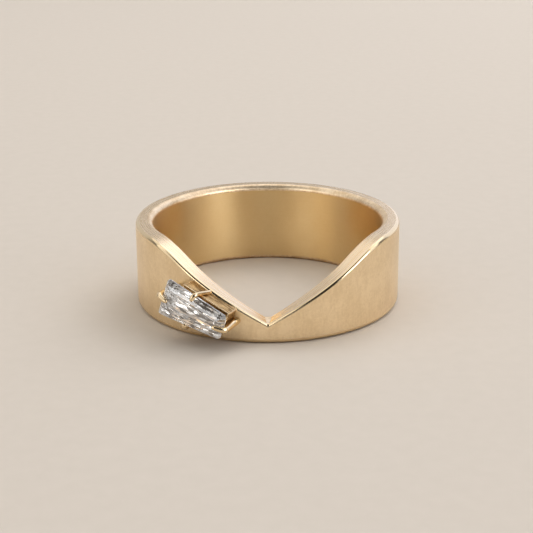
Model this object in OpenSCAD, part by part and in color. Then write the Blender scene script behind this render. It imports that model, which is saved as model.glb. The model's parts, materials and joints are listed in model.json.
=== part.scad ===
// Chevron ring: a wide plain band whose rim dips to a point at the front, with one tapered
// stone in four claws, set off the middle below one leg of the notch.
// Millimetres. The finger hole runs along Z, the band lies on its lower edge at Z = 0, and
// the point of the notch faces -Y. Distances called "round" are measured round the outside.

/* [Band] */
// Inside diameter of the band, which is the ring's finger size
finger_d = 17.3; // [14:0.1:22]
// Thickness of the band's wall
wall = 1.3; // [1:0.1:2]
// Width of the band away from the notch
band_w = 6.3; // [5.6:0.1:8]
// Rounding of the lower edge, inside and outside
edge_round = 0.3; // [0.1:0.05:0.4]
// Rounding of the rim's inner edge, away from the notch
rim_round_in = 0.45; // [0.35:0.05:0.6]
// Rounding of the rim's outer edge, away from the notch
rim_round_out = 0.2; // [0.1:0.05:0.3]

/* [Chevron notch] */
// Width of metal left under the point of the notch
point_h = 1.4; // [1.2:0.1:2.2]
// Slope of each leg of the notch, round the band
leg_angle = 29; // [24:0.5:34]
// Rounding of the notch at its point
point_round = 0.3; // [0.2:0.1:1]
// Rounding where a leg runs out into the rim
shoulder_round = 8; // [4:1:14]

/* [Stone] */
// Length of the stone
stone_l = 5; // [3.5:0.1:6]
// Width of the stone at its outer, wide end
stone_wide = 2.9; // [2.2:0.1:3.2]
// Width of the stone at its inner, narrow end
stone_narrow = 1.9; // [1.4:0.1:2.4]
// Height of the crown, from the girdle to the table
crown_h = 0.4; // [0.25:0.05:0.6]
// Depth of the pavilion, from the girdle to the keel
pavilion_h = 1.2; // [0.7:0.05:1.25]
// Thickness of the girdle
girdle_t = 0.1; // [0.06:0.02:0.2]
// Width of the sloping facets between the girdle and the table
crown_in = 0.5; // [0.35:0.05:0.6]
// Length cut off each corner of the stone
corner_cut = 0.15; // [0.05:0.05:0.3]
// Distance from the point of the notch to the stone's middle, along the leg
stone_along = 4.65; // [4:0.05:6]
// Angle by which the stone lies flatter than the leg
stone_fan = 10; // [0:0.5:14]

/* [Setting] */
// Height of the stone's girdle over the band
stand = 1.45; // [1.3:0.05:2]
// Clearance between the stone and the metal that holds it
seat_gap = 0.04; // [0.02:0.01:0.08]
// Thickness of the gallery's wall
gallery_wall = 0.3; // [0.2:0.05:0.4]
// How far the gallery's long walls stand inside the stone's edge
gallery_in = 0.05; // [0:0.05:0.2]
// Height of the rail along the gallery's top
rail_h = 0.22; // [0.15:0.01:0.4]
// How far the rail stands out from the gallery's wall
rail_out = 0.07; // [0.03:0.01:0.12]
// Depth of the gallery's top below the girdle
gallery_drop = 0.5; // [0.4:0.05:0.7]
// How far the gallery stops short of the stone's wide end
gallery_short_wide = 1; // [0.6:0.1:1.4]
// How far the gallery stops short of the stone's narrow end
gallery_short_narrow = 0.15; // [0:0.05:0.4]
// Metal between the gallery and the edge of the notch
edge_margin = 0.16; // [0.05:0.01:0.4]
// Thickness of a claw's shank
claw_d = 0.4; // [0.35:0.05:0.6]
// Thickness of a claw at its tip
claw_tip_d = 0.32; // [0.25:0.01:0.4]
// Reach of the two end claws over the stone
end_reach = 0.65; // [0.4:0.05:0.9]
// Reach of the two side claws over the stone
side_reach = 0.4; // [0.3:0.05:0.6]
// How far the end claws bend outside the stone's edge
end_out = 0.24; // [0.04:0.01:0.3]
// How far the side claws bend outside the stone's edge
side_out = 0.04; // [0.02:0.01:0.1]
// How far the side claws stand from the stone's middle, towards its wide end
side_shift = 0.2; // [0:0.05:0.6]
// Angle by which the claws lean away from the stone
claw_lean = 5; // [0:1:12]

/* [Hidden] */
$fn = 64;

finger_r = finger_d / 2;
outer_r = finger_r + wall;

// A leg's slope meets the level of the rim at the corner, which the shoulder rounds off.
// The shoulder runs out a hair over the rim, so that the cut leaves the metal cleanly.
run_out = 0.01;
rim_h = band_w + run_out;
corner_round = (rim_h - point_h) / tan(leg_angle);
shoulder_half = shoulder_round * tan(leg_angle / 2);
shoulder_start = corner_round - shoulder_half * cos(leg_angle);
shoulder_end = corner_round + shoulder_half;
point_end = point_round * sin(leg_angle);

// Steps in the point's rounding, a straight leg and a shoulder
point_steps = 5;
leg_steps = 20;
shoulder_steps = 20;

// Height of the notch's edge at a distance round the band from the point
function edge_h(round_at) =
    let (s = abs(round_at))
    s < point_end ? point_h + point_round / cos(leg_angle) - sqrt(pow(point_round, 2) - s * s) :
    s < shoulder_start ? point_h + s * tan(leg_angle) :
    rim_h - shoulder_round + sqrt(pow(shoulder_round, 2) - pow(s - shoulder_end, 2));

function steps(from, to, count) = [for (i = [1:count]) from + (to - from) * i / count];

// Distances round the band at which the notch has an edge across the wall
right_half = concat(steps(0, point_end, point_steps),
                    steps(point_end, shoulder_start, leg_steps),
                    steps(shoulder_start, shoulder_end, shoulder_steps));
left_half = [for (i = [len(right_half) - 1:-1:0]) -right_half[i]];
cut_places = concat(left_half, [0], right_half);

// Degrees round the band's axis, from the front, for a distance round its outside
function turn(round_at) = round_at / outer_r * 180 / PI;

// A point at a radius, a place round the band and a height
function on_band(radius, round_at, h) =
    [radius * sin(turn(round_at)), -radius * cos(turn(round_at)), h];

// The space above the notch: four corners at each place, joined along the row of places
notch_clear = 1;
notch_points = [for (s = cut_places) each [
    on_band(finger_r - notch_clear, s, edge_h(s)),
    on_band(outer_r + notch_clear, s, edge_h(s)),
    on_band(outer_r + notch_clear, s, rim_h + notch_clear),
    on_band(finger_r - notch_clear, s, rim_h + notch_clear)]];
notch_last = 4 * (len(cut_places) - 1);
notch_sides = [for (i = [0:len(cut_places) - 2], k = [0:3])
    let (a = 4 * i + k, b = 4 * i + (k + 1) % 4)
    each [[a, b, a + 4], [b, b + 4, a + 4]]];
notch_faces = concat([[3, 2, 1, 0]], notch_sides,
                     [[notch_last, notch_last + 1, notch_last + 2, notch_last + 3]]);

module notch() {
    polyhedron(notch_points, notch_faces, convexity = 6);
}

// The band's wall in section, standing on its lower edge, with its four corners rounded
module wall_section() {
    translate([finger_r, edge_round]) square([wall, band_w - edge_round - rim_round_in]);
    translate([finger_r + edge_round, 0]) square([wall - 2 * edge_round, edge_round]);
    for (r = [finger_r + edge_round, outer_r - edge_round])
        translate([r, edge_round]) circle(edge_round);
    // The rim: its flat between the two roundings, and the face beside the smaller one
    translate([finger_r + rim_round_in, band_w - rim_round_in])
        square([wall - rim_round_in - rim_round_out, rim_round_in]);
    translate([outer_r - rim_round_out, band_w - rim_round_in])
        square([rim_round_out, rim_round_in - rim_round_out]);
    translate([finger_r + rim_round_in, band_w - rim_round_in]) circle(rim_round_in);
    translate([outer_r - rim_round_out, band_w - rim_round_out]) circle(rim_round_out);
}

module plain_band() {
    difference() {
        rotate_extrude($fn = 180) wall_section();
        notch();
    }
}

// The stone lies on the wide end's side of the left leg. Its frame has X along its length
// towards the point of the notch, Y across it towards the leg, and Z out of the band, with
// the girdle's middle at zero.
mid_half_w = (stone_wide + stone_narrow) / 4;
taper = (stone_wide - stone_narrow) / 2 / stone_l;
side_stretch = sqrt(1 + taper * taper);
below_leg = mid_half_w - gallery_in * side_stretch + edge_margin;
stone_round = -stone_along * cos(leg_angle) - below_leg * sin(leg_angle);
stone_h = point_h + stone_along * sin(leg_angle) - below_leg * cos(leg_angle);
stone_slope = leg_angle - stone_fan;

module at_stone() {
    translate(on_band(outer_r + stand, stone_round, stone_h))
        rotate([0, 0, turn(stone_round)])
            rotate([90, 0, 0])
                rotate([0, 0, -stone_slope])
                    children();
}

// Half the stone's width at a place along it, less an inset square to its side
function half_w(x, inset) = mid_half_w - taper * x - inset * side_stretch;

// The stone's outline drawn in by an inset, with its corners cut
function stone_outline(inset) =
    let (x = stone_l / 2 - inset, c = corner_cut)
    [[-x, -half_w(-x, inset) + c], [-x + c, -half_w(-x + c, inset)],
     [x - c, -half_w(x - c, inset)], [x, -half_w(x, inset) + c],
     [x, half_w(x, inset) - c], [x - c, half_w(x - c, inset)],
     [-x + c, half_w(-x + c, inset)], [-x, half_w(-x, inset) - c]];

// The facets' edges from the table down: the height as a share of the crown or the
// pavilion, and the inset as a share of the crown's or of the half width
//           height  inset
table_edge   = [1,    1];
crown_edge   = [0.6,  0.42];
pavilion_mid = [0.3,  0.25];
pavilion_low = [0.64, 0.6];
// The keel's ends, as a share of half the stone's length
keel_share = 0.5;

// One level of the stone: a thin slice whose outer face is at a height
module level(h, inset) {
    slice = 0.001;
    translate([0, 0, h - (h > 0 ? slice : 0)])
        linear_extrude(slice) polygon(stone_outline(inset));
}

// The cut stone, grown outwards all round by an amount
module cut_stone(grow = 0) {
    top = girdle_t / 2 + grow;
    hull() {
        level(top + crown_h * table_edge[0], crown_in * table_edge[1] - grow);
        level(top + crown_h * crown_edge[0], crown_in * crown_edge[1] - grow);
        level(top, -grow);
        level(-top, -grow);
        level(-top - pavilion_h * pavilion_mid[0], mid_half_w * pavilion_mid[1] - grow);
        level(-top - pavilion_h * pavilion_low[0], mid_half_w * pavilion_low[1] - grow);
        translate([-stone_l / 2 * keel_share, -girdle_t / 4, -top - pavilion_h])
            cube([stone_l * keel_share, girdle_t / 2, girdle_t / 4]);
    }
}

// The gallery: an open frame under the stone, from the band up to below the girdle
gallery_from = -stone_l / 2 + gallery_short_wide;
gallery_to = stone_l / 2 - gallery_short_narrow;
// Every piece of the setting goes down through the band's curved outside, and is cut off
// a little way under it.
sink = 0.15;
root = stand + wall;

module gallery_plan(inset) {
    a = gallery_from + inset;
    b = gallery_to - inset;
    in = gallery_in + inset;
    polygon([[a, -half_w(a, in)], [b, -half_w(b, in)], [b, half_w(b, in)], [a, half_w(a, in)]]);
}

// A wall of the gallery from one height to another, inset on its outside
module gallery_ring(from, to, inset) {
    translate([0, 0, from])
        linear_extrude(to - from)
            difference() {
                gallery_plan(inset);
                gallery_plan(gallery_wall);
            }
}

module gallery() {
    gallery_ring(-root, -gallery_drop, rail_out);
    gallery_ring(-gallery_drop - rail_h, -gallery_drop, 0);
}

// A claw in a frame with the stone's edge at zero, X away from the stone and Z out of the
// band: a leaning shank, a bend just over the girdle, and a tip that lies on the crown.
claw_over = 0.08;
bend_h = girdle_t / 2 + claw_over;
shank_l = (root + bend_h) / cos(claw_lean);
// A ball at each end of the tip is a little thicker than what it joins.
ball = 1.04;

module claw(reach, out) {
    lift = crown_h * min(1, reach / crown_in);
    over = out + reach;
    translate([out, 0, bend_h]) {
        rotate([0, claw_lean, 0]) translate([0, 0, -shank_l]) cylinder(d = claw_d, h = shank_l);
        sphere(d = claw_d * ball);
        rotate([0, -atan2(over, lift), 0])
            cylinder(d1 = claw_d, d2 = claw_tip_d, h = norm([over, lift]));
    }
    translate([-reach, 0, bend_h + lift]) sphere(d = claw_tip_d * ball);
}

// One claw on each side of the stone
side_turn = atan(taper);
module claws() {
    translate([-stone_l / 2, 0, 0]) rotate([0, 0, 180]) claw(end_reach, end_out);
    translate([stone_l / 2, 0, 0]) claw(end_reach, end_out);
    for (side = [-1, 1])
        translate([-side_shift, side * half_w(-side_shift, 0), 0])
            rotate([0, 0, side * (90 - side_turn)]) claw(side_reach, side_out);
}

// Gallery and claws, with the stone's seat cut out and the roots cut off under the band's face
module setting() {
    difference() {
        at_stone() difference() {
            union() {
                gallery();
                claws();
            }
            cut_stone(seat_gap);
        }
        translate([0, 0, -notch_clear])
            cylinder(r = outer_r - sink, h = band_w + 2 * notch_clear, $fn = 180);
    }
}

// The setting is soldered to the band, so the two are one solid
module band_with_setting() {
    color([0.83, 0.68, 0.45]) union() {
        plain_band();
        setting();
    }
}

module stone() {
    color([0.86, 0.88, 0.9]) at_stone() cut_stone();
}

band_with_setting();
stone();
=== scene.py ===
import json
from collections import namedtuple
from math import acos, atan, atan2, cos, hypot, pi, radians, sin, sqrt, tan

import bmesh
import bpy
from mathutils import Matrix, Vector


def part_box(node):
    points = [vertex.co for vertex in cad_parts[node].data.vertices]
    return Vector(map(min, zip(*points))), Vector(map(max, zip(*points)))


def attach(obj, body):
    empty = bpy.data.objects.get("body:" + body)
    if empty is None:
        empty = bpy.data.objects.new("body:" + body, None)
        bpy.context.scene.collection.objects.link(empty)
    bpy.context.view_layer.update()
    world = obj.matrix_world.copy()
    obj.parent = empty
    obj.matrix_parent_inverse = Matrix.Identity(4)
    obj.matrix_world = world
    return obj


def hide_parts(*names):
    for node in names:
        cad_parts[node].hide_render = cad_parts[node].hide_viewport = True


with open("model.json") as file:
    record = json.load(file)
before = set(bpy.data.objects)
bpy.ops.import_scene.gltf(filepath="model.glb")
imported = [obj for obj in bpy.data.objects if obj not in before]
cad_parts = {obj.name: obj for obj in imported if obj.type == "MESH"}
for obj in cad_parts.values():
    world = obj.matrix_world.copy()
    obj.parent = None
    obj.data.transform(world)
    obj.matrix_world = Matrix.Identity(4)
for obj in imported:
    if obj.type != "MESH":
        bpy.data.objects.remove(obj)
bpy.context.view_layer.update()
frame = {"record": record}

MM = 0.001
MICRON = 1e-6

# The band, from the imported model
_, band_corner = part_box("band_with_setting")
outer_r = band_corner.x
band_w = band_corner.z
finger_r = frame["record"]["mounts"][0]["dims"]["r_mm"] * MM
wall = outer_r - finger_r

# The band's edges: each rounding of the rim is small along the notch and full behind it
lower_edge = 0.3 * MM
outer_edge = 0.28 * MM
outer_edge_leg = 0.2 * MM
inner_edge = 0.45 * MM
inner_edge_leg = 0.09 * MM

# The notch
point_h = 1.4 * MM
leg_angle = radians(29)
# The flat at the bottom of the notch is a narrow triangle: half its width at each edge
flat_outside = 0.05 * MM
flat_inside = 0.3 * MM
shoulder_round = 8 * MM
run_out = 0.01 * MM

# The stone
stone_l = 5 * MM
stone_wide = 2.9 * MM
stone_narrow = 1.9 * MM
crown_h = 0.4 * MM
pavilion_h = 1.2 * MM
girdle_t = 0.1 * MM
corner_cut = 0.15 * MM
# How far its place is from the point along the left leg, and how much flatter than the leg
# it lies
stone_along = 4.65 * MM
stone_fan = radians(10)

# The setting: how far the girdle stands off the band, and how deep the foot goes into the band
stand = 1.45 * MM
sink = 0.15 * MM
# The gallery's long walls, and the rails along their tops, which stand a little further out
gallery_wall = 0.3 * MM
gallery_in = 0.05 * MM
gallery_drop = 0.5 * MM
gallery_from = -stone_l / 2 + 1 * MM
gallery_to = stone_l / 2 - 0.15 * MM
rail_h = 0.22 * MM
rail_out = 0.07 * MM
# The walls across it: how thick they are, how much they keep in from its sides, and how far
# the one at the wide end stays under the stone's keel
end_wall = 0.2 * MM
end_in = 1.5 * rail_out
keel_gap = 0.04 * MM
# Roundings of the long walls, the rails and the walls across
wall_edge = 0.02 * MM
rail_edge = 0.05 * MM
wide_end_edge = 0.03 * MM
narrow_end_edge = 0.05 * MM
# How far under the leg's edge the gallery stays, and how far from the stone's middle towards
# its wide end the claws at its sides stand
edge_margin = 0.16 * MM
side_shift = 0.2 * MM

# Where the notch's straight legs run into the level rim
rim_h = band_w + run_out
corner_round = (rim_h - point_h) / tan(leg_angle)
shoulder_half = shoulder_round * tan(leg_angle / 2)
shoulder_start = corner_round - shoulder_half * cos(leg_angle)
shoulder_end = corner_round + shoulder_half


def edge_height(round_at, flat):
    """Height of the band's upper edge at a distance round it from the point of the notch."""
    s = max(abs(round_at), flat)
    if s < shoulder_start:
        return point_h + s * tan(leg_angle)
    if s < shoulder_end:
        return rim_h - shoulder_round + sqrt(shoulder_round**2 - (s - shoulder_end) ** 2)
    return rim_h


# The stone's frame: X along its length towards the point of the notch, Y across it towards
# the leg and Z out of the band, with the girdle's middle at zero
mid_half_w = (stone_wide + stone_narrow) / 4
taper = (stone_wide - stone_narrow) / 2 / stone_l
side_stretch = sqrt(1 + taper**2)
below_leg = mid_half_w - gallery_in * side_stretch + edge_margin
stone_round = -stone_along * cos(leg_angle) - below_leg * sin(leg_angle)
stone_h = point_h + stone_along * sin(leg_angle) - below_leg * cos(leg_angle)
stone_slope = leg_angle - stone_fan
stone_turn = stone_round / outer_r
stone_middle = Vector((sin(stone_turn), -cos(stone_turn), 0)) * (outer_r + stand)
stone_middle.z = stone_h
at_stone = (
    Matrix.Translation(stone_middle)
    @ Matrix.Rotation(stone_turn, 4, "Z")
    @ Matrix.Rotation(pi / 2, 4, "X")
    @ Matrix.Rotation(-stone_slope, 4, "Z")
)


def half_width(x, inset=0):
    """Half the stone's width at a place along it, less an inset square to its side."""
    return mid_half_w - taper * x - inset * side_stretch


def under_face(x, y):
    """How far out the band's face is under a place of the stone's frame, less the sink."""
    across = x * cos(stone_slope) + y * sin(stone_slope)
    return sqrt((outer_r - sink) ** 2 - across**2) - outer_r - stand


# Mesh helpers

# Edges that turn by more than this are shown sharp
crease_angle = radians(25)
# Corners closer together than this are made one
weld_gap = 0.0005 * MM
# How close to a cutting plane a corner counts as on it, for the band and for the stone
section_tolerance = 1e-9
facet_tolerance = 1e-8


def verts_of(geom):
    return [g for g in geom if isinstance(g, bmesh.types.BMVert)]


def edges_of(geom):
    return [g for g in geom if isinstance(g, bmesh.types.BMEdge)]


def drawn_out(bm, rim, step):
    """Extrudes a closed rim of edges, moves the new rim by a matrix and returns it."""
    made = bmesh.ops.extrude_edge_only(bm, edges=rim)["geom"]
    fresh = verts_of(made)
    bmesh.ops.transform(bm, matrix=step, verts=fresh)
    known = set(fresh)
    return [e for e in edges_of(made) if known.issuperset(e.verts)]


def drawn_along(bm, path, sides):
    """Draws a closed rod along a path of places, each with the rod's thickness there."""
    places = [Vector(place) for place, _ in path]
    headings = []
    for i in range(len(places)):
        before = places[max(i - 1, 0)]
        after = places[min(i + 1, len(places) - 1)]
        headings.append((after - before).normalized())
    start = Matrix.Translation(places[0]) @ headings[0].to_track_quat("Z", "Y").to_matrix().to_4x4()
    bmesh.ops.create_circle(bm, cap_ends=True, radius=path[0][1] / 2, segments=sides, matrix=start)
    rim = bm.edges[:]
    for i in range(1, len(places)):
        swing = headings[i - 1].rotation_difference(headings[i]).to_matrix().to_4x4()
        step = (
            Matrix.Translation(places[i])
            @ swing
            @ Matrix.Scale(path[i][1] / path[i - 1][1], 4)
            @ Matrix.Translation(-places[i - 1])
        )
        rim = drawn_out(bm, rim, step)
    bmesh.ops.contextual_create(bm, geom=rim)


def rounded(bm, geom, offset, segments, affect="EDGES", material=-1):
    """Bevels edges or corners to a round."""
    bmesh.ops.bevel(
        bm,
        geom=geom,
        offset=offset,
        offset_type="OFFSET",
        segments=segments,
        profile=0.5,
        affect=affect,
        material=material,
        clamp_overlap=True,
    )


def finished(name, bm, materials, node, smooth=True):
    """Turns a bmesh into a piece that rides on the ring and stands for a CAD node."""
    bmesh.ops.remove_doubles(bm, verts=bm.verts, dist=weld_gap)
    bmesh.ops.recalc_face_normals(bm, faces=bm.faces)
    mesh = bpy.data.meshes.new(name)
    for face in bm.faces:
        face.smooth = smooth
    for edge in bm.edges:
        edge.smooth = edge.calc_face_angle(0) < crease_angle
    bm.to_mesh(mesh)
    bm.free()
    piece = bpy.data.objects.new(name, mesh)
    bpy.context.scene.collection.objects.link(piece)
    for material in materials:
        mesh.materials.append(material)
    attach(piece, "root")
    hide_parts(node)
    return piece


# Materials


class Wire:
    """One output in a node tree, so that sums on it can be written as plain Python."""

    def __init__(self, recipe, socket):
        self.recipe = recipe
        self.socket = socket

    def math(self, operation, *values):
        return self.recipe.node("ShaderNodeMath", {"operation": operation}, *values)

    def __add__(self, other):
        return self.math("ADD", self, other)

    def __sub__(self, other):
        return self.math("SUBTRACT", self, other)

    def __mul__(self, other):
        return self.math("MULTIPLY", self, other)

    __radd__ = __add__
    __rmul__ = __mul__


class Recipe:
    """A node tree being written: a material's, or the world's."""

    def __init__(self, owner):
        owner.use_nodes = True
        self.tree = owner.node_tree
        self.tree.nodes.clear()

    def node(self, kind, settings, *values, out=0, **named):
        """Adds a node: its settings first, then the values or links of its sockets."""
        made = self.tree.nodes.new(kind)
        for key, value in settings.items():
            setattr(made, key, value)
        sockets = list(zip(made.inputs, values))
        sockets += [(made.inputs[key.replace("_", " ")], value) for key, value in named.items()]
        for socket, value in sockets:
            if isinstance(value, Wire):
                self.tree.links.new(value.socket, socket)
            else:
                socket.default_value = value
        return Wire(self, made.outputs[out]) if made.outputs else None

    def place(self, turned=False):
        """The place on the piece in metres, along the ring's axes or turned to the stone's."""
        place = self.node("ShaderNodeTexCoord", {}, out="Object")
        if not turned:
            return place
        back = at_stone.to_3x3().inverted().to_euler()
        return self.node("ShaderNodeMapping", {}, Vector=place, Rotation=back)

    def scaled(self, vector, scale):
        return self.node("ShaderNodeVectorMath", {"operation": "MULTIPLY"}, vector, scale)

    def grain(self, scale, detail=2, roughness=0.5, turned=False):
        """Cloudy noise from 0 to 1, with a count per metre along each axis, or the stone's axes."""
        vector = self.scaled(self.place(turned), scale)
        return self.node(
            "ShaderNodeTexNoise", {}, Vector=vector, Scale=1, Detail=detail, Roughness=roughness
        )

    def rings(self, scale):
        """Cloudy noise drawn out in thin rings round the finger hole: counts per metre across
        the rings and along them."""
        across, along = scale
        place = self.place()
        level = self.scaled(place, (1, 1, 0))
        radius = self.node("ShaderNodeVectorMath", {"operation": "LENGTH"}, level, out="Value")
        outward = self.node("ShaderNodeCombineXYZ", {}, radius * across)
        drawn = self.scaled(place, (along, along, along))
        vector = self.node("ShaderNodeVectorMath", {"operation": "ADD"}, outward, drawn)
        return self.node(
            "ShaderNodeTexNoise", {}, Vector=vector, Scale=1, Detail=3, Roughness=0.6
        )

    def rise(self, value, start, end):
        """0 up to the start and 1 from the end, with a soft rise between."""
        return self.node(
            "ShaderNodeMapRange", {"interpolation_type": "SMOOTHSTEP"},
            Value=value, From_Min=start, From_Max=end,
        )

    def mixed(self, share, first, second):
        """A colour between two, by a share from 0 to 1."""
        made = self.tree.nodes.new("ShaderNodeMix")
        made.data_type = "RGBA"
        for place, value in zip(mix_inputs, (share, first, second)):
            if isinstance(value, Wire):
                self.tree.links.new(value.socket, made.inputs[place])
            else:
                made.inputs[place].default_value = value
        return Wire(self, made.outputs[mix_result])


# The places of the Mix node's colour sockets: the share and the two colours, and the result
mix_inputs = (0, 6, 7)
mix_result = 2

# Tones of each surface, the deepest and the lightest
GOLD = ((0.84, 0.64, 0.385, 1), (0.88, 0.69, 0.43, 1))
# The band's one gold: lighter on the outside and paler on the rim as painted light, and deeper inside
# as painted shade
LIT_SATIN_GOLD = ((0.85, 0.66, 0.41, 1), (0.95, 0.76, 0.50, 1))
SHADED_INSIDE_GOLD = ((0.805, 0.59, 0.295, 1), (0.87, 0.66, 0.355, 1))
LIT_RIM_GOLD = ((0.77, 0.56, 0.335, 1), (0.98, 0.775, 0.535, 1))
# The gallery's tones: the deepest, near black, is painted shade under the stone, and the file marks
# streak it towards the lighter one
FILED_AND_SHADED_GOLD = ((0.12, 0.055, 0.012, 1), (0.66, 0.44, 0.20, 1))
# The stone's mirror facets: white painted sparkle among grey painted reflections, and a painted
# reflection of the gold among dark ones
PAINTED_SPARKLE_TONES = ((0.22, 0.20, 0.18, 1), (0.98, 0.97, 0.95, 1))
PAINTED_GOLD_REFLECTION_TONES = ((0.06, 0.04, 0.02, 1), (0.55, 0.36, 0.18, 1))
FLOOR_TONES = ((0.605, 0.53, 0.44, 1), (0.645, 0.565, 0.475, 1))

# Counts per metre of the gold's broad clouds and of its fine specks
CLOUDS = (700, 700, 500)
SPECKS = (5000, 5000, 5000)

# A finish of the gold: how far the lines vary the roughness, how far the clouds and specks and
# then the lines vary the tone, and how far a highlight is drawn out across the lines
Finish = namedtuple("Finish", "spread mottle drawn anisotropic")
SATIN = Finish(0.14, 2.8, 1.1, 0.4)
BRUSHED = Finish(0.1, 0.8, 0.6, 0.82)
LINED = Finish(0.12, 0.3, 1.6, 0.5)
POLISHED = Finish(0.08, 0.6, 0.3, 0.0)
FILED = Finish(0.14, 1.2, 3.0, 0.0)


def gold(name, finish, lines, roughness, depth, across=0.0, tones=GOLD, turned=False):
    """Yellow gold with fine lines: their count per metre along each axis, or across and along
    rings, and their depth."""
    material = bpy.data.materials.new(name)
    recipe = Recipe(material)
    clouds = recipe.grain(CLOUDS, detail=4, roughness=0.6)
    if len(lines) == 2:
        streaks = recipe.rings(lines)
    else:
        streaks = recipe.grain(lines, detail=3, roughness=0.6, turned=turned)
    specks = recipe.grain(SPECKS, detail=4, roughness=0.7)
    tone = 0.5 + finish.mottle * (clouds + specks - 1) + finish.drawn * (streaks - 0.5)
    surface = recipe.node(
        "ShaderNodeBsdfPrincipled",
        {},
        Base_Color=recipe.mixed(tone, *tones),
        Metallic=1.0,
        Roughness=roughness + finish.spread * (streaks - 0.5),
        Anisotropic=finish.anisotropic,
        Anisotropic_Rotation=across,
        Normal=recipe.node("ShaderNodeBump", {}, Strength=1.0, Distance=depth, Height=streaks),
    )
    recipe.node("ShaderNodeOutputMaterial", {}, surface)
    return material


# The band's surfaces: their tones carry painted light outside and on the rim, and painted shade inside
satin_outside = gold("satin_outside", SATIN, (7000, 7000, 1200), 0.32, 3 * MICRON, tones=LIT_SATIN_GOLD)
brushed_inside = gold(
    "brushed_inside", BRUSHED, (500, 500, 9000), 0.36, 2 * MICRON, across=0.25, tones=SHADED_INSIDE_GOLD
)
brushed_rim = gold("brushed_rim", LINED, (9000, 500), 0.27, 1.5 * MICRON, tones=LIT_RIM_GOLD)
worn_edge = gold("worn_edge", SATIN, (2500, 2500, 2500), 0.38, 0.6 * MICRON, tones=LIT_RIM_GOLD)
polished_edge = gold("polished_edge", POLISHED, (9000, 9000, 9000), 0.12, 0.4 * MICRON)
polished_setting = gold("polished_setting", POLISHED, (7000, 7000, 7000), 0.12, 0.4 * MICRON)
# The gallery's walls and rails: file marks, with painted shade in their dark tone
filed_and_shaded_gallery = gold(
    "filed_and_shaded_gallery", FILED, (700, 8000, 8000), 0.42, 6 * MICRON, tones=FILED_AND_SHADED_GOLD, turned=True
)

# The patches of painted light and shade on the stone's lower facets: counts per metre along the
# stone, across it and through it, how strongly light and dark ones differ, how dark they are on
# the whole, and the strength of their painted glow, which they give though they are no lamp
SHORT_PATCHES = (2100, 7500, 7500)
LONG_PATCHES = (900, 8500, 8500)
patch_contrast = 3.2
patch_darkness = 0.9
painted_glow = 0.22


def clear_stone():
    """The crown and the girdle, which light passes through."""
    material = bpy.data.materials.new("clear_stone")
    recipe = Recipe(material)
    polish = recipe.grain((4000, 4000, 4000))
    surface = recipe.node(
        "ShaderNodeBsdfPrincipled",
        {},
        Base_Color=(1, 1, 1, 1),
        Roughness=0.01 * polish,
        IOR=2.42,
        Transmission_Weight=1.0,
    )
    recipe.node("ShaderNodeOutputMaterial", {}, surface)
    return material


def stone_mirror(name, tilt, counts, tones=PAINTED_SPARKLE_TONES):
    """Lower facets, which throw the light back as mirrors do: small patches of each are tilted,
    as the facets are that a cut stone shows over and over. Their tones are painted sparkle and
    darker painted reflections, and they glow with them a little, a painted glow."""
    material = bpy.data.materials.new(name)
    recipe = Recipe(material)
    polish = recipe.grain((3000, 3000, 3000))
    place = recipe.scaled(recipe.place(turned=True), counts)
    patches = recipe.node("ShaderNodeTexVoronoi", {}, Vector=place, Scale=1, out="Color")
    share = recipe.node("ShaderNodeSeparateXYZ", {}, patches, out="Z")
    tone = recipe.mixed(patch_contrast * share - patch_darkness, *tones)
    centred = recipe.node("ShaderNodeVectorMath", {"operation": "SUBTRACT"}, patches, (0.5, 0.5, 0.5))
    lean = recipe.scaled(centred, (tilt, tilt, tilt))
    facing = recipe.node("ShaderNodeNewGeometry", {}, out="Normal")
    tilted = recipe.node("ShaderNodeVectorMath", {"operation": "ADD"}, facing, lean)
    surface = recipe.node(
        "ShaderNodeBsdfPrincipled",
        {},
        Base_Color=tone,
        Metallic=1.0,
        Roughness=0.02 + 0.08 * polish,
        Normal=recipe.node("ShaderNodeVectorMath", {"operation": "NORMALIZE"}, tilted),
        # A painted glow: the facets give light in their own tone, though they are no lamp
        Emission_Color=tone,
        Emission_Strength=painted_glow,
    )
    recipe.node("ShaderNodeOutputMaterial", {}, surface)
    return material


def pale_floor():
    material = bpy.data.materials.new("pale_floor")
    recipe = Recipe(material)
    tooth = recipe.grain((900, 900, 900), detail=4)
    surface = recipe.node(
        "ShaderNodeBsdfPrincipled",
        {},
        Base_Color=recipe.mixed(tooth, *FLOOR_TONES),
        Roughness=0.9,
        Specular_IOR_Level=0.2,
    )
    recipe.node("ShaderNodeOutputMaterial", {}, surface)
    return material


# The band


def wall_section():
    """The wall in section over the point of the notch, as a closed rim with round corners."""
    bm = bmesh.new()
    bmesh.ops.create_grid(bm, x_segments=1, y_segments=1, size=0.5)
    upright = (
        Matrix.Rotation(-pi / 2, 4, "Z")
        @ Matrix.Translation((finger_r + wall / 2, 0, band_w / 2))
        @ Matrix.Rotation(pi / 2, 4, "X")
        @ Matrix.Diagonal((wall, band_w, 1, 1))
    )
    bmesh.ops.transform(bm, matrix=upright, verts=bm.verts)

    def corners(outside, upper):
        return [
            v
            for v in bm.verts
            if (abs(v.co.y) > finger_r + wall / 2) == outside and (v.co.z > band_w / 2) == upper
        ]

    lower = corners(False, False) + corners(True, False)
    rounded(bm, lower, lower_edge, segments=6, affect="VERTICES")
    rounded(bm, corners(True, True), outer_edge, segments=8, affect="VERTICES")
    rounded(bm, corners(False, True), inner_edge, segments=8, affect="VERTICES")
    return bm


# Columns of faces round the band
steps_round = 640
# How far the columns of faces gather at the point of the notch, and the column that its flat
# ends at
gather = 1.4
flat_column = 3
# Heights at the two edges that keep their shape under the notch
held_below = 0.35 * MM
held_above = 0.52 * MM
# Distance from a rounded edge to the line that keeps the face beside it flat, and a little
# more, which takes in the line itself
guard = 0.03 * MM
past_guard = 1.01 * guard
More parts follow.
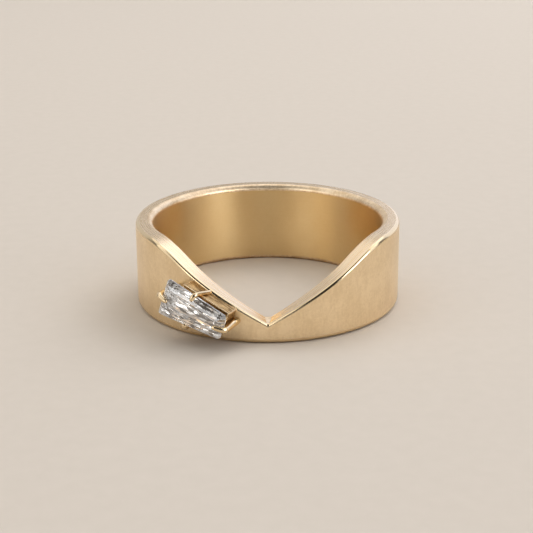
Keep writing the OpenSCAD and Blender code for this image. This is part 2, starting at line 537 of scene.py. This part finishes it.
# How far round from the point the rim's roundings start to swell, and where they are full
outer_swell = (radians(42), radians(60))
inner_swell = (radians(52), radians(95))
# The distance over which the columns beside the flat's crease are drawn over to it
crease_reach = 2 * MM
# How squarely a face looks in or out: below the first it is level, and below the second it
# is part of a rounding
level_facing = 0.02
wall_facing = 0.999


def eased(value, start, end):
    """0 up to the start and 1 from the end, with a soft rise between."""
    share = min(max((value - start) / (end - start), 0), 1)
    return share * share * (3 - 2 * share)


def lowered(z, edge):
    """A height on the plain band carried down under the notch's edge."""
    if z > band_w - held_above:
        return z - (band_w - edge)
    if z < held_below:
        return z
    return held_below + (z - held_below) * (edge - held_below - held_above) / (
        band_w - held_below - held_above
    )


def drawn_into_corner(radius, z, turn):
    """Shrinks the rim's roundings along the notch: a place on the section, as it is there."""
    for corner, full, small, swell in (
        (outer_r, outer_edge, outer_edge_leg, outer_swell),
        (finger_r, inner_edge, inner_edge_leg, inner_swell),
    ):
        zone = full + past_guard
        across = radius - corner
        below = band_w - z
        if abs(across) < zone and below < zone:
            scale = (small + (full - small) * eased(abs(turn), *swell)) / full
            return corner + across * scale, band_w - below * scale
    return radius, z


def column_round(number):
    """Distance round the band's outside from the point of the notch to a column of faces."""
    return pi * (number / (steps_round / 2)) ** gather * outer_r


def beside_crease(number, flat):
    """The same distance with the columns drawn over, so that one runs along the flat's crease."""
    crease = column_round(flat_column)
    plain = column_round(number)
    if number < flat_column + 0.5:
        return plain * flat / crease
    return plain + (flat - crease) * (1 - eased(plain, crease, crease_reach))


def band():
    bm = wall_section()
    cuts = [
        ((0, 0, lower_edge + guard), (0, 0, 1)),
        ((0, 0, held_below), (0, 0, 1)),
        ((0, 0, band_w - outer_edge - guard), (0, 0, 1)),
        ((0, 0, band_w - inner_edge - guard), (0, 0, 1)),
        ((0, 0, band_w - held_above), (0, 0, 1)),
        ((0, -finger_r - inner_edge - guard, 0), (0, 1, 0)),
        ((0, -outer_r + outer_edge + guard, 0), (0, 1, 0)),
    ]
    for place, direction in cuts:
        geom = list(bm.verts) + list(bm.edges) + list(bm.faces)
        bmesh.ops.bisect_plane(
            bm, geom=geom, plane_co=place, plane_no=direction, dist=section_tolerance
        )
    inner = [e for e in bm.edges if not e.is_boundary]
    bmesh.ops.delete(bm, geom=inner, context="EDGES")
    bmesh.ops.delete(bm, geom=list(bm.faces), context="FACES_ONLY")
    section = list(bm.verts) + list(bm.edges)
    bmesh.ops.spin(
        bm, geom=section, cent=(0, 0, 0), axis=(0, 0, 1), angle=2 * pi, steps=steps_round,
        use_merge=True, use_duplicate=False,
    )
    for vert in bm.verts:
        x, y, z = vert.co
        turn = atan2(x, -y)
        side = 1 if turn > 0 else -1
        number = abs(turn) / pi * steps_round / 2
        radius, z = drawn_into_corner(hypot(x, y), z, column_round(number) / outer_r)
        inward = (outer_r - radius) / wall
        flat = flat_outside + (flat_inside - flat_outside) * inward
        turn = side * beside_crease(number, flat) / outer_r
        edge = min(edge_height(turn * outer_r, flat), band_w)
        vert.co = (radius * sin(turn), -radius * cos(turn), lowered(z, edge))
    bmesh.ops.recalc_face_normals(bm, faces=bm.faces)
    outside, inside, outer_roundings, rim, inner_roundings = range(5)
    for face in bm.faces:
        middle = face.calc_center_median()
        radius = hypot(middle.x, middle.y)
        facing = face.normal.dot(Vector((middle.x, middle.y, 0)).normalized())
        is_outer = radius > finger_r + wall / 2
        if abs(facing) < level_facing:
            face.material_index = rim
        elif abs(facing) < wall_facing:
            face.material_index = outer_roundings if is_outer else inner_roundings
        else:
            face.material_index = outside if is_outer else inside
    golds = [satin_outside, brushed_inside, polished_edge, brushed_rim, worn_edge]
    return finished("band", bm, golds, "band_with_setting")


# The setting


def gallery_bar(name, plan, top, bottom, edge_round):
    """A bar of the gallery in the stone's frame. The plan gives the place of each corner from
    shares of its length and of its thickness. Without a bottom it goes down to the band."""
    bm = bmesh.new()
    bmesh.ops.create_cube(bm, size=1)
    for vert in bm.verts:
        x, y = plan(vert.co.x + 0.5, vert.co.y + 0.5)
        foot = under_face(x, y) if bottom is None else bottom
        vert.co = (x, y, top if vert.co.z > 0 else foot)
    bmesh.ops.recalc_face_normals(bm, faces=bm.faces)
    rounded(bm, bm.edges[:], edge_round, segments=4, material=1)
    bmesh.ops.transform(bm, matrix=at_stone, verts=bm.verts)
    return finished(name, bm, [filed_and_shaded_gallery, polished_setting], "band_with_setting")


def long_plan(side, inset):
    """Plan of a long wall, on the leg's side (1) or on the other side (-1) of the stone."""

    def plan(along, across):
        x = gallery_from + inset + (gallery_to - gallery_from - 2 * inset) * along
        return x, side * half_width(x, gallery_in + inset + (gallery_wall - inset) * across)

    return plan


def end_plan(x, thick):
    """Plan of a wall across the gallery, from a place along the stone."""

    def plan(along, across):
        place = x + thick * along
        return place, half_width(place, gallery_in + end_in) * (2 * across - 1)

    return plan


def gallery():
    """The open frame under the stone, soldered to the band: four walls, and a rail on the long
    ones. The wall at the wide end stays under the stone's lower facets."""
    rail_foot = -gallery_drop - rail_h
    for side, place in ((1, "upper"), (-1, "lower")):
        gallery_bar(f"gallery_{place}", long_plan(side, rail_out), rail_foot, None, wall_edge)
        gallery_bar(f"rail_{place}", long_plan(side, 0), -gallery_drop, rail_foot, rail_edge)
    under_keel = -girdle_t / 2 - pavilion_h - keel_gap
    wide_end = end_plan(gallery_from, end_wall)
    gallery_bar("gallery_wide_end", wide_end, under_keel, None, wide_end_edge)
    narrow_end = end_plan(gallery_to - end_wall, end_wall)
    gallery_bar("gallery_narrow_end", narrow_end, -gallery_drop, None, narrow_end_edge)


# How much thicker the claws are drawn than their paths say, their sides and their smoothing
claw_scale = 1.12
claw_sides = 10
claw_smoothing = 2


def claw(name, place, turn, path):
    """A claw drawn along its path: out from the stone's edge, along it, and out of the band."""
    bm = bmesh.new()
    path = [((x * MM, y * MM, z * MM), claw_scale * thick * MM) for x, y, z, thick in path]
    drawn_along(bm, path, claw_sides)
    bmesh.ops.transform(
        bm, matrix=at_stone @ Matrix.Translation(place) @ Matrix.Rotation(turn, 4, "Z"), verts=bm.verts
    )
    piece = finished(name, bm, [polished_setting], "band_with_setting")
    smooth = piece.modifiers.new("smooth", "SUBSURF")
    smooth.levels = claw_smoothing
    smooth.render_levels = claw_smoothing
    return piece


# The claws' paths in millimetres: out, along, height over the girdle's middle, thickness
end_path = [
    (0.10, 0, -2.10, 0.58),
    (0.14, 0, -1.30, 0.50),
    (0.18, 0, -0.80, 0.42),
    (0.22, 0, -0.30, 0.40),
    (0.24, 0, 0.00, 0.42),
    (0.22, 0, 0.16, 0.42),
    (0.12, 0, 0.30, 0.40),
    (-0.04, 0, 0.37, 0.37),
    (-0.22, 0, 0.45, 0.34),
    (-0.42, 0, 0.53, 0.32),
    (-0.56, 0, 0.56, 0.26),
    (-0.64, 0, 0.565, 0.14),
]
upper_path = [
    (-0.08, -0.34, -1.65, 0.34),
    (-0.04, -0.32, -1.35, 0.32),
    (0.06, -0.24, -0.90, 0.28),
    (0.12, -0.14, -0.45, 0.27),
    (0.13, -0.06, -0.10, 0.30),
    (0.10, -0.01, 0.12, 0.36),
    (0.00, 0.02, 0.25, 0.36),
    (-0.12, 0.02, 0.33, 0.32),
    (-0.24, 0.02, 0.40, 0.28),
    (-0.33, 0.02, 0.44, 0.16),
]
lower_path = [
    (-0.06, 0, -1.65, 0.36),
    (0.00, 0, -1.20, 0.34),
    (0.05, 0, -0.70, 0.36),
    (0.09, 0, -0.25, 0.40),
    (0.13, 0, 0.00, 0.46),
    (0.09, 0, 0.16, 0.46),
    (-0.02, 0, 0.26, 0.40),
    (-0.12, 0, 0.32, 0.28),
    (-0.20, 0, 0.35, 0.15),
]


def claws():
    side_turn = pi / 2 - atan(taper)
    side_at = half_width(-side_shift)
    claw("claw_left", (-stone_l / 2, 0, 0), pi, end_path)
    claw("claw_right", (stone_l / 2, 0, 0), 0, end_path)
    claw("claw_upper", (-side_shift, side_at, 0), side_turn, upper_path)
    claw("claw_lower", (-side_shift, -side_at, 0), -side_turn, lower_path)


# The stone, cut as a lapidary cuts it: a block, and one plane for each facet


def cut_facet(bm, place, direction):
    """Cuts away what lies beyond a plane and closes the cut with one flat facet."""
    geom = list(bm.verts) + list(bm.edges) + list(bm.faces)
    made = bmesh.ops.bisect_plane(
        bm, geom=geom, plane_co=place, plane_no=direction, clear_outer=True, dist=facet_tolerance
    )["geom_cut"]
    edges = [e for e in edges_of(made) if e.is_boundary]
    if len(edges) > 2:
        bmesh.ops.contextual_create(bm, geom=edges)


def stone_sides():
    """Each side of the stone: a place on its girdle, its direction out, and how long it is."""
    side_turn = atan(taper)
    corner_in = corner_cut / 2
    sides = [
        ("upper", (0, mid_half_w), pi / 2 - side_turn, stone_l),
        ("lower", (0, -mid_half_w), side_turn - pi / 2, stone_l),
        ("end", (stone_l / 2, 0), 0, stone_narrow),
        ("end", (-stone_l / 2, 0), pi, stone_wide),
    ]
    for x_side in (-1, 1):
        for y_side in (-1, 1):
            x = x_side * stone_l / 2
            place = (x - x_side * corner_in, y_side * (half_width(x) - corner_in))
            sides.append(("corner", place, atan2(y_side, x_side), 0))
    return sides


# Steps of the cut from the girdle: inset and height or depth, in shares of the crown's or of
# the pavilion's
crown_inset = 0.5 * MM
crown_steps = [(0, 0), (0.26, 0.42), (0.6, 0.76), (1, 1)]
pavilion_steps = [(0, 0), (0.22, 0.29), (0.46, 0.55), (0.72, 0.78), (1, 1)]
# Facets that each pavilion step under the first is split into, and how far round they turn at
# its ends
splits = {"upper": (1, 0), "lower": (7, radians(13)), "end": (4, radians(24)), "corner": (1, 0)}
# Facets steeper than this from straight down are the girdle's and the crown's
steepest_pavilion = radians(80)


def step_facets(bm, side, step, next_step, way, split):
    """Cuts one step of the crown (way 1) or the pavilion (way -1) on one side."""
    _, place, out, length = side
    count, most = split
    slope = atan2(next_step[1] - step[1], next_step[0] - step[0])
    outward = Vector((cos(out), sin(out), 0))
    along = Vector((-sin(out), cos(out), 0))
    for i in range(count):
        share = (2 * i + 1) / count - 1
        swing = most * share
        bulge = most * share * share * length / 4
        place_now = Vector((*place, way * (girdle_t / 2 + step[1]))) - outward * (step[0] + bulge)
        place_now += along * (share * length / 2)
        direction = (outward * cos(swing) + along * sin(swing)) * sin(slope)
        direction.z = way * cos(slope)
        cut_facet(bm, place_now, direction)


def stone():
    """The stone: its crown is clear, and the rows of its pavilion are mirrors. On the leg's side
    they show the gold and the sky by turns, as painted reflections in their tones."""
    bm = bmesh.new()
    block = Matrix.Diagonal((stone_l, stone_wide, 2 * (crown_h + pavilion_h), 1))
    bmesh.ops.create_cube(bm, size=1, matrix=block)
    sides = stone_sides()
    for _, (x, y), out, _ in sides:
        cut_facet(bm, (x, y, 0), (cos(out), sin(out), 0))
    cut_facet(bm, (0, 0, girdle_t / 2 + crown_h), (0, 0, 1))
    cut_facet(bm, (0, 0, -girdle_t / 2 - pavilion_h), (0, 0, -1))
    crown = [(crown_inset * i, crown_h * h) for i, h in crown_steps]
    pavilion = [(mid_half_w * i, pavilion_h * h) for i, h in pavilion_steps]
    for side in sides:
        for step, next_step in zip(crown, crown[1:]):
            step_facets(bm, side, step, next_step, 1, (1, 0))
        for number, (step, next_step) in enumerate(zip(pavilion, pavilion[1:])):
            split = splits[side[0]] if number else (1, 0)
            step_facets(bm, side, step, next_step, -1, split)
    clear, calm, lively, painted_gold_reflection = range(4)
    # On the leg's side the rows show by turns a painted reflection of the gold and painted sparkle
    leg_rows = (painted_gold_reflection, calm, painted_gold_reflection, calm)
    slopes = [atan2(b[1] - a[1], b[0] - a[0]) for a, b in zip(pavilion, pavilion[1:])]
    for face in bm.faces:
        face.normal_update()
        slope = acos(max(-face.normal.z, -1))
        row = min(range(len(slopes)), key=lambda i: abs(slopes[i] - slope))
        if slope > steepest_pavilion:
            face.material_index = clear
        elif face.normal.y > abs(face.normal.x):
            face.material_index = leg_rows[row]
        else:
            face.material_index = lively
    bmesh.ops.transform(bm, matrix=at_stone, verts=bm.verts)
    cut = [
        clear_stone(),
        stone_mirror("stone_calm", 0.12, LONG_PATCHES),
        stone_mirror("stone_lively", 0.3, SHORT_PATCHES),
        stone_mirror("stone_painted_gold_reflection", 0.1, LONG_PATCHES, PAINTED_GOLD_REFLECTION_TONES),
    ]
    return finished("cut_stone", bm, cut, "stone", smooth=False)


# Floor, light and camera

floor_half = 1.5
# The floor lies a hair under the ring, so that the two don't share a plane
floor_drop = 0.001 * MM
DAYLIGHT = (0.83, 0.925, 1.2)
PALE_LIGHT = (0.95, 1.0, 1.12)
ALL = ("gold", "floor", "stone")
# Brightness of the room in front of the ring, and how much more it has behind it
room_light = 0.04
back_light = 0.48


def floor():
    bm = bmesh.new()
    bmesh.ops.create_grid(bm, x_segments=1, y_segments=1, size=floor_half)
    mesh = bpy.data.meshes.new("floor")
    bm.to_mesh(mesh)
    bm.free()
    mesh.materials.append(pale_floor())
    plane = bpy.data.objects.new("floor", mesh)
    bpy.context.scene.collection.objects.link(plane)
    plane.location.z = -floor_drop


def softbox(name, turn, rise, size, radiance, colour=(1, 1, 1), seen_by=ALL, distance=0.5):
    """A soft rectangular light. Turn is from straight behind the ring towards +X and rise from
    level, in degrees. Its radiance is the brightness that a mirror shows, and it lights only
    what seen_by names."""
    turn = radians(turn)
    rise = radians(rise)
    lamp = bpy.data.lights.new(name, "AREA")
    lamp.shape = "RECTANGLE"
    lamp.size, lamp.size_y = size
    lamp.energy = radiance * pi * size[0] * size[1]
    lamp.color = colour
    box = bpy.data.objects.new(name, lamp)
    bpy.context.scene.collection.objects.link(box)
    away = Vector((sin(turn) * cos(rise), cos(turn) * cos(rise), sin(rise)))
    box.location = away * distance
    box.rotation_euler = (-away).to_track_quat("-Z", "Y").to_euler()
    box.visible_camera = False
    box.visible_glossy = "gold" in seen_by
    box.visible_diffuse = "floor" in seen_by
    box.visible_transmission = "stone" in seen_by


# Small square lights that only the stone sees, which make its facets sparkle: their size, and
# the turn, rise and radiance of each
glint_size = (0.22, 0.22)
glints = [
    (-150, 12, 2),
    (-128, 30, 1),
    (-100, 10, 2),
    (-170, 45, 2),
    (160, 20, 2),
    (-120, 68, 2),
    (130, 50, 2),
    (-75, 35, 2),
    (-60, 70, 2),
    (60, 60, 2),
]


def studio():
    """A dim room that is lighter behind the ring, with softboxes behind, beside and over it. Some
    light only the gold, the floor or the stone, so that each is lit in its own way."""
    world = bpy.data.worlds.new("studio")
    bpy.context.scene.world = world
    recipe = Recipe(world)
    direction = recipe.node("ShaderNodeTexCoord", {}, out="Generated")
    away = recipe.node("ShaderNodeSeparateXYZ", {}, direction, out="Y")
    back = recipe.rise(away, -0.2, 0.8)
    brightness = room_light + back * back_light
    light = recipe.node("ShaderNodeBackground", {}, (0.98, 0.98, 1.0, 1), brightness)
    recipe.node("ShaderNodeOutputWorld", {}, light)
    # Broad panels behind the ring, and the one at the right once more for the stone
    softbox("panel_right", 34, 29, (0.48, 0.6), 0.62, DAYLIGHT, ("gold", "floor"))
    softbox("stone_back", 34, 29, (0.48, 0.6), 0.6, seen_by=("stone",))
    softbox("panel_left", -34, 29, (0.48, 0.6), 0.14)
    softbox("upper_right", 42, 56, (0.5, 0.26), 0.6)
    softbox("upper_left", -42, 56, (0.5, 0.26), 0.45)
    # Panels beside and over it
    softbox("side_right", 110, 31, (0.5, 0.6), 1.1, PALE_LIGHT)
    softbox("side_left", -110, 31, (0.5, 0.6), 0.9)
    softbox("overhead", 0, 80, (0.5, 0.2), 0.6)
    # Small lights for the notch's edges and the front of the band
    softbox("low_right", 127, 31, (0.024, 0.02), 3.8, seen_by=("gold",), distance=0.047)
    softbox("low_front", 180, 12, (0.4, 0.1), 0.6, seen_by=("gold",))
    softbox("low_left", -142, 24, (0.2, 0.24), 1.9, seen_by=("gold",))
    # The floor's light and its shadows
    softbox("key_low", 35, 42, (0.3, 0.3), 2.15, seen_by=("floor",))
    softbox("key_high", 0, 88, (0.5, 0.5), 1.03, seen_by=("floor",))
    # The stone's own light
    softbox("stone_fill", -150, 30, (1.4, 1.4), 0.5, seen_by=("stone",))
    for number, (turn, rise, radiance) in enumerate(glints):
        softbox(f"glint_{number}", turn, rise, glint_size, radiance, seen_by=("stone",))
    view = bpy.context.scene.view_settings
    view.view_transform = "Standard"
    view.look = "None"


def camera():
    """The photograph's own view: from a little above, with the notch towards the viewer."""
    eye = Vector((0.01, -94.21, 35.08)) * MM
    aim = Vector((-0.10, 0, 2.264)) * MM
    roll = radians(-0.35)
    lens = bpy.data.cameras.new("camera")
    lens.sensor_width = 36
    lens.lens = 87.9
    lens.clip_start = 1 * MM
    lens.clip_end = 10
    viewer = bpy.data.objects.new("camera", lens)
    bpy.context.scene.collection.objects.link(viewer)
    facing = (aim - eye).to_track_quat("-Z", "Y").to_matrix().to_4x4()
    viewer.matrix_world = Matrix.Translation(eye) @ facing @ Matrix.Rotation(roll, 4, "Z")
    bpy.context.scene.camera = viewer


band()
gallery()
claws()
stone()
floor()
studio()
camera()
